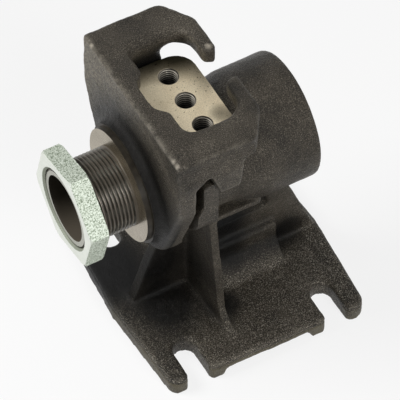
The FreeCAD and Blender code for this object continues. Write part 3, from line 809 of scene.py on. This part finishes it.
def machined_iron():
    """Milled faces: beige bare iron with fine tool marks and pinholes, greyer towards the front end, painted
    dark reflections on the pad.
    """
    n = Nodes("machined_iron")
    base = n.ramp(n.noise(70, 3, 0.6), [(0.35, (0.66, 0.56, 0.39)), (0.65, (0.78, 0.68, 0.49))])
    cloud = n.math("MULTIPLY", n.noise(60, 3, 0.6), 0.3)
    # painted reflection: dark olive towards the far side of the pad
    far_painted_reflection = n.math("ADD", n.along((9.0, 33.0, 0.0), -0.35), cloud)
    colour = n.mix(n.ramp(far_painted_reflection, [(0.45, 0.0), (1.0, 1.0)]), base, (0.085, 0.075, 0.045))
    # greyer and darker towards the front end
    front_end = n.math("ADD", n.along((-50.0, 0.0, 0.0), 0.7), cloud)
    front_darkening = n.math("MULTIPLY", n.ramp(front_end, [(0.0, 0.0), (0.55, 1.0)]), 0.4)
    colour = n.mix(front_darkening, colour, (0.24, 0.215, 0.155))
    # painted dark reflection spot of the near hook
    colour = n.mix(n.ramp(n.distance(PAD_PAINTED_REFLECTION), [(0.0025, 0.8), (0.0075, 0.0)]), colour, (0.12, 0.105, 0.07))
    pinholes = n.ramp(n.noise(900, 2, 0.5), [(0.28, 0.25), (0.34, 1.0)])
    colour = n.times(colour, pinholes)
    marks = n.ramp(n.fine(), [(0.35, 0.6), (0.65, 1.3)])
    colour = n.mix(0.35, colour, marks, "MULTIPLY")
    return n.surface(colour, 0.36, n.tool_marks(0.2), 0.9)


def boss_iron():
    """Turned face of the boss, smoother and cleaner than the milled pad."""
    n = Nodes("boss_iron")
    base = n.ramp(n.noise(90, 3, 0.6), [(0.35, (0.29, 0.245, 0.17)), (0.65, (0.37, 0.32, 0.235))])
    return n.surface(base, 0.26, n.tool_marks(0.12), 0.8)


def painted_shade_rim_iron():
    """Turned rim of the boss, near black as painted shade."""
    n = Nodes("painted_shade_rim_iron")
    base = n.ramp(n.noise(200, 3, 0.6), [(0.35, (0.018, 0.015, 0.011)), (0.65, (0.04, 0.034, 0.025))])
    return n.surface(base, 0.4, n.tool_marks(0.15), 0.0, 0.12)


def tapped_iron():
    """Tapped holes: bright crests and mouth, near black roots and darker further down, as painted shade."""
    n = Nodes("tapped_iron")
    nearest = 1.0
    for i in (-1, 0, 1):
        nearest = n.math("MINIMUM", nearest, n.column_distance(BRACKET_X, BRACKET_SPACING * i))
    above_core = n.math("SUBTRACT", nearest, BRACKET_CORE * MM)
    height = n.math("MULTIPLY", above_core, 1 / BRACKET_THREAD / MM)
    # crests pale, roots near black as painted shade
    colour = n.ramp(height, [(0.1, (0.4, 0.37, 0.31)), (0.45, (0.012, 0.01, 0.007))])
    # painted shade: darker further down the hole
    depth = n.ramp(n.along((0.0, 0.0, 100.0), -100 * (PAD_TOP - 10.0) * MM), [(0.1, 0.1), (0.9, 1.0)])
    colour = n.times(colour, depth)
    mouth = n.ramp(n.along((0.0, 0.0, 1000.0), -1000 * (PAD_TOP - 1.0) * MM), [(0.5, 0.0), (0.9, 1.0)])
    return n.surface(n.mix(mouth, colour, (0.42, 0.37, 0.29)), 0.45, None, 0.35, 0.2)


def nipple_steel():
    """Oxidised brown steel, paler on the thread's crests, roots darker as painted shade; painted light and
    shade inside.
    """
    n = Nodes("nipple_steel")
    patches = n.noise(120, 3, 0.6)
    root = n.ramp(patches, [(0.3, (0.04, 0.033, 0.025)), (0.7, (0.066, 0.055, 0.042))])
    crest = n.ramp(patches, [(0.3, (0.085, 0.072, 0.056)), (0.7, (0.14, 0.12, 0.094))])
    low = (THREAD_RADIUS - THREAD_DEPTH) * MM
    high = THREAD_RADIUS * MM
    radius = n.axis_distance()
    depth = n.math("DIVIDE", n.math("SUBTRACT", radius, low), high - low)
    # paler crests, roots darker as painted shade
    colour = n.mix(n.ramp(depth, [(0.35, 0.0), (0.95, 1.0)]), root, crest)
    # inside the bore: painted shade above and far, painted light below and near
    inside = n.ramp(n.math("MULTIPLY", radius, 1 / THREAD_RADIUS / MM), [(0.85, 1.0), (0.88, 0.0)])
    down_and_near = n.along((0.0, -14.0, -22.0), 22 * AXIS_HEIGHT * MM)
    painted_bore_shade = n.ramp(down_and_near, [(0.0, (0.03, 0.026, 0.018)), (0.5, (0.2, 0.17, 0.13))])
    colour = n.mix(inside, colour, painted_bore_shade)
    end = n.ramp(n.toward((-1.0, 0.0, 0.0)), [(0.9, 0.0), (0.98, 1.0)])
    colour = n.mix(end, colour, (0.42, 0.42, 0.36))
    return n.surface(colour, 0.36, n.tool_marks(0.15), 0.45)


def zinc_steel():
    """Zinc plating: smooth on the turned faces, crinkled and speckled on the flats."""
    n = Nodes("zinc_steel")
    grain = n.noise(1300, 3, 0.65)
    flat = n.ramp(n.facing_x(), [(0.75, 1.0), (0.93, 0.0)])
    speckled = n.ramp(grain, [
        (0.38, (0.16, 0.2, 0.14)),
        (0.47, (0.46, 0.51, 0.42)),
        (0.56, (0.66, 0.71, 0.63)),
    ])
    smooth = n.ramp(n.noise(90, 3, 0.6), [(0.3, (0.77, 0.8, 0.73)), (0.7, (0.85, 0.88, 0.81))])
    colour = n.mix(flat, smooth, speckled)
    half_share = n.math("MULTIPLY", n.axis_distance(), 0.5 / THREAD_RADIUS / MM)
    bevel = n.ramp(half_share, [(0.52, 1.0), (0.53, 0.0)])
    colour = n.mix(bevel, colour, (0.3, 0.32, 0.26))
    strength = n.math("MULTIPLY", flat, grain)
    rough = n.mix(flat, (0.4, 0.4, 0.4), (0.65, 0.65, 0.65))
    return n.surface(colour, rough, n.bump(strength, 0.6, 0.0004), 0.75)


def seal_rubber():
    """Matt black rubber."""
    n = Nodes("seal_rubber")
    return n.surface((0.02, 0.02, 0.02), n.ramp(n.noise(300), [(0.3, 0.5), (0.7, 0.7)]))


FOOT_IRON = foot_iron()
CLAW_IRON = claw_iron()
BOSS_IRON = boss_iron()
PAINTED_SHADE_RIM = painted_shade_rim_iron()
TAPPED = tapped_iron()
MACHINED = machined_iron()
NIPPLE = nipple_steel()
ZINC = zinc_steel()
RUBBER = seal_rubber()


# Pieces

def foot():
    """Foot casting, faced at the joint, the socket and the pad, then bored and tapped."""
    plugs = [bored("fill_bore", *FOOT_PLUG), box_mesh("fill_holes", *HOLES_PLUG)]
    body = raw_casting("foot", "foot_casting", plugs, [], [])
    roughen(body, FOOT_SKIN, FOOT_SEED)
    parting_line(body)
    kept_inside(body, "foot_casting")
    raised(body, Z, 1, PAD_TOP)
    raised(body, X, 1, SOCKET_END, radius=SOCKET_CUTTER)
    raised(body, X, -1, 0, radius=JOINT_SKIN)
    body.data.materials.clear()
    body.data.materials.append(FOOT_IRON)
    cut(body, bored("face_joint", -PAST, SKIM, JOINT_CUTTER), MACHINED)
    cut(body, bored("face_socket", SOCKET_END - SKIM, SOCKET_END + PAST, SOCKET_CUTTER), MACHINED)
    cut(body, box_mesh("mill_pad", *PAD_CUTTER), MACHINED)
    cut(body, outlet_thread("outlet"), MACHINED)
    for i in (-1, 0, 1):
        cut(body, threaded_hole("tap", BRACKET_X, BRACKET_SPACING * i), TAPPED)
    finished(body, "foot_body", "foot", "foot_casting")


def claw():
    """Claw casting, its boss faced and turned, with bore, waterway and the seal's groove."""
    cheek_slots = both_sides(*CHEEK_SLOT)
    rims = [(box, 1.0) for box in both_sides(*ARM_RIM)]
    rims += [(box, HOOK_AMOUNT) for box in both_sides(*HOOK_RIM)]
    body = raw_casting("claw", "claw_casting", [bored("fill_bore", *CLAW_PLUG)], cheek_slots, rims)
    roughen(body, CLAW_SKIN, CLAW_SEED)
    kept_inside(body, "claw_casting")
    raised(body, X, -1, BOSS_FRONT, radius=BOSS_RADIUS)
    body.data.materials.clear()
    body.data.materials.append(CLAW_IRON)
    cut(body, bored("face_boss", BOSS_FRONT - PAST, BOSS_FRONT + SKIM, BOSS_CUTTER), BOSS_IRON)
    ahead = BOSS_FRONT - 3
    step = BOSS_FRONT + BOSS_TURNED_LENGTH
    taper = 0.3
    rim = [
        (ahead, BOSS_TURNED_RADIUS),
        (step, BOSS_TURNED_RADIUS + taper),
        (step, RIM_CUTTER),
        (ahead, RIM_CUTTER),
    ]
    # the turned rim is coloured near black as painted shade
    cut(body, turned_ring("turned_rim", rim), PAINTED_SHADE_RIM)
    cut(body, bored("bore", BORE_START, NIPPLE_REAR + THREAD_GAP, THREAD_RADIUS + THREAD_GAP), MACHINED)
    cut(body, bored("waterway", BORE_START, PAST, BORE_RADIUS), MACHINED)
    behind = 3
    groove = [
        (SEAL_GROOVE_FLOOR, SEAL_GROOVE_INNER),
        (SEAL_GROOVE_FLOOR, SEAL_GROOVE_OUTER),
        (behind, SEAL_GROOVE_OUTER),
        (behind, SEAL_GROOVE_INNER),
    ]
    cut(body, turned_ring("groove", groove), MACHINED)
    finished(body, "claw_body", "claw", "claw_casting")


def nipple():
    """Nipple with its helical pipe thread, run out towards the boss."""
    per_pitch = 12
    chamfer = 1.2
    end = BOSS_FRONT - 0.4     # of the thread
    run_out = 0.6 * PITCH
    angles = full_turn(128)
    turn = angles / (2 * math.pi)
    rings = [ring_x(NIPPLE_REAR, BORE_RADIUS, angles), ring_x(NIPPLE_FRONT, BORE_RADIUS, angles)]
    length = BOSS_FRONT - NIPPLE_FRONT
    rows = int(length / PITCH * per_pitch)
    for row in range(rows + 1):
        x = NIPPLE_FRONT + length * row / rows
        fade = np.clip((end - x) / run_out, 0, 1)
        height = thread_height(x / PITCH - turn, crest=0.28, root=0.22)
        radius = THREAD_RADIUS - THREAD_DEPTH * (1 - height) * fade
        radius = np.minimum(radius, THREAD_RADIUS - chamfer + (x - NIPPLE_FRONT))
        rings.append(ring_x(x, radius, angles))
    rings.append(ring_x(NIPPLE_REAR, THREAD_RADIUS, angles))
    obj = new_object("nipple", ring_mesh("nipple", rings))
    obj.data.materials.append(NIPPLE)
    finished(obj, "nipple_body", "claw", "threaded_nipple")


def crinkle(point):
    """Uneven height of the nut's flats at a point, from two lengths of noise."""
    fine = noise.noise(Vector(point) / (CRINKLE_LENGTH / 2))
    return noise.noise(Vector(point) / CRINKLE_LENGTH) + 0.5 * fine


def nut():
    """Hexagon locknut: crinkled flats, corners turned off, smooth faces."""
    rows = 28
    ease = 0.2
    mouth = 1.2
    sink = 1.2                 # keeps the crinkles under the CAD's flats
    rim_share = 0.3            # crinkles are lower on the first and last row
    half = NUT_ACROSS_FLATS / 2
    corner = half / math.cos(math.pi / 6)
    turn = math.radians(NUT_TURN)
    angles = full_turn(480) + turn
    from_flat = np.mod(angles - turn, math.pi / 3) - math.pi / 6
    hexagon = half / np.cos(from_flat)
    face = np.minimum(hexagon, half + (corner - half) * NUT_FACE_SHARE)
    drop = (hexagon - face) * math.tan(math.radians(NUT_CHAMFER)) + ease
    inner = THREAD_RADIUS + THREAD_GAP
    rings = [
        ring_x(NUT_FRONT + mouth, inner, angles),
        ring_x(NUT_FRONT, inner + mouth, angles),
        ring_x(NUT_FRONT, face - ease, angles),
    ]
    for row in range(rows + 1):
        x = NUT_FRONT + drop + (NUT_BACK - NUT_FRONT - 2 * drop) * row / rows
        rough = np.array([crinkle(point) for point in ring_x(x, hexagon, angles)])
        inward = CRINKLE_HEIGHT * (rough - sink)
        if row in (0, rows):
            inward *= rim_share
        rings.append(ring_x(x, hexagon + inward, angles))
    rings += [
        ring_x(NUT_BACK, face - ease, angles),
        ring_x(NUT_BACK, inner + mouth, angles),
        ring_x(NUT_BACK - mouth, inner, angles),
    ]
    obj = new_object("nut", ring_mesh("nut", rings))
    obj.data.materials.append(ZINC)
    finished(obj, "locknut_body", "nut", "locknut")


def seal():
    """The seal keeps its CAD mesh and gets a material."""
    node = frame["nodes"]["flange_seal"]
    node.data.materials.clear()
    node.data.materials.append(RUBBER)


# Stage

def shown_rays(tree):
    """1 for the rays that show the background: from the camera, a reflection or through glass."""
    path = tree.nodes.new("ShaderNodeLightPath")
    total = path.outputs["Is Camera Ray"]
    for name in ("Is Glossy Ray", "Is Transmission Ray"):
        add = tree.nodes.new("ShaderNodeMath")
        add.operation = "MAXIMUM"
        tree.links.new(total, add.inputs[0])
        tree.links.new(path.outputs[name], add.inputs[1])
        total = add.outputs[0]
    return total


def floor():
    """White floor that keeps a soft shadow; it throws little light back under the object."""
    material = bpy.data.materials.new("floor")
    material.use_nodes = True
    tree = material.node_tree
    tree.nodes.remove(tree.nodes["Principled BSDF"])
    dim = tree.nodes.new("ShaderNodeBsdfDiffuse")
    dim.inputs["Color"].default_value = (FLOOR_GREY, FLOOR_GREY, FLOOR_GREY, 1)
    pale = tree.nodes.new("ShaderNodeBsdfDiffuse")
    pale.inputs["Color"].default_value = (FLOOR_PALE, FLOOR_PALE, FLOOR_PALE, 1)
    white = tree.nodes.new("ShaderNodeEmission")
    white.inputs["Strength"].default_value = 1.0
    shown = tree.nodes.new("ShaderNodeMixShader")
    shown.inputs["Fac"].default_value = FLOOR_GLOW
    tree.links.new(pale.outputs[0], shown.inputs[1])
    tree.links.new(white.outputs[0], shown.inputs[2])
    mix = tree.nodes.new("ShaderNodeMixShader")
    tree.links.new(shown_rays(tree), mix.inputs["Fac"])
    tree.links.new(dim.outputs[0], mix.inputs[1])
    tree.links.new(shown.outputs[0], mix.inputs[2])
    tree.links.new(mix.outputs[0], tree.nodes["Material Output"].inputs["Surface"])
    mesh = bpy.data.meshes.new("floor")
    size = FLOOR_SIZE
    corners = [(-size, -size, 0), (size, -size, 0), (size, size, 0), (-size, size, 0)]
    mesh.from_pydata(corners, [], [(0, 1, 2, 3)])
    mesh.materials.append(material)
    obj = new_object("floor", mesh)
    obj.location.z = -FLOOR_DROP


def world():
    """Dim light on the object before a white background."""
    scene = bpy.context.scene
    scene.world = bpy.data.worlds.new("world")
    scene.world.use_nodes = True
    tree = scene.world.node_tree
    background = tree.nodes["Background"]
    output = tree.nodes["World Output"]
    background.inputs["Color"].default_value = (1, 1, 1, 1)
    background.inputs["Strength"].default_value = AMBIENT
    white = tree.nodes.new("ShaderNodeBackground")
    white.inputs["Strength"].default_value = 1.0
    mix = tree.nodes.new("ShaderNodeMixShader")
    tree.links.new(shown_rays(tree), mix.inputs["Fac"])
    tree.links.new(background.outputs[0], mix.inputs[1])
    tree.links.new(white.outputs[0], mix.inputs[2])
    tree.links.new(mix.outputs[0], output.inputs["Surface"])


def lamp(name, place, power):
    """Square soft box that looks at the object; power in watts."""
    data = bpy.data.lights.new(name, "AREA")
    data.shape = "SQUARE"
    data.size = LAMP_SIZE
    data.energy = power
    obj = new_object(name, data)
    obj.location = place
    obj.rotation_euler = (Vector(place) - LAMP_AIM).to_track_quat("Z", "Y").to_euler()


def camera():
    azimuth = math.radians(AZIMUTH)
    elevation = math.radians(ELEVATION)
    back = Vector((math.sin(azimuth) * math.cos(elevation), -math.cos(azimuth) * math.cos(elevation),
                   math.sin(elevation)))
    right = Vector((math.cos(azimuth), math.sin(azimuth), 0))
    up = back.cross(right)
    data = bpy.data.cameras.new("camera")
    data.lens = LENS
    data.sensor_width = SENSOR_WIDTH
    data.clip_end = CLIP_END
    obj = new_object("camera", data)
    turn = Matrix((right, up, back)).transposed().to_4x4()
    obj.matrix_world = Matrix.Translation(TARGET + back * DISTANCE) @ turn
    bpy.context.scene.camera = obj


bpy.context.scene.view_settings.view_transform = "Standard"
camera()
world()
lamp("left", (-0.9, 0.45, 1.1), 14)
lamp("near", (0.15, -1.25, 0.85), 13)
floor()

foot()
claw()
nipple()
nut()
seal()
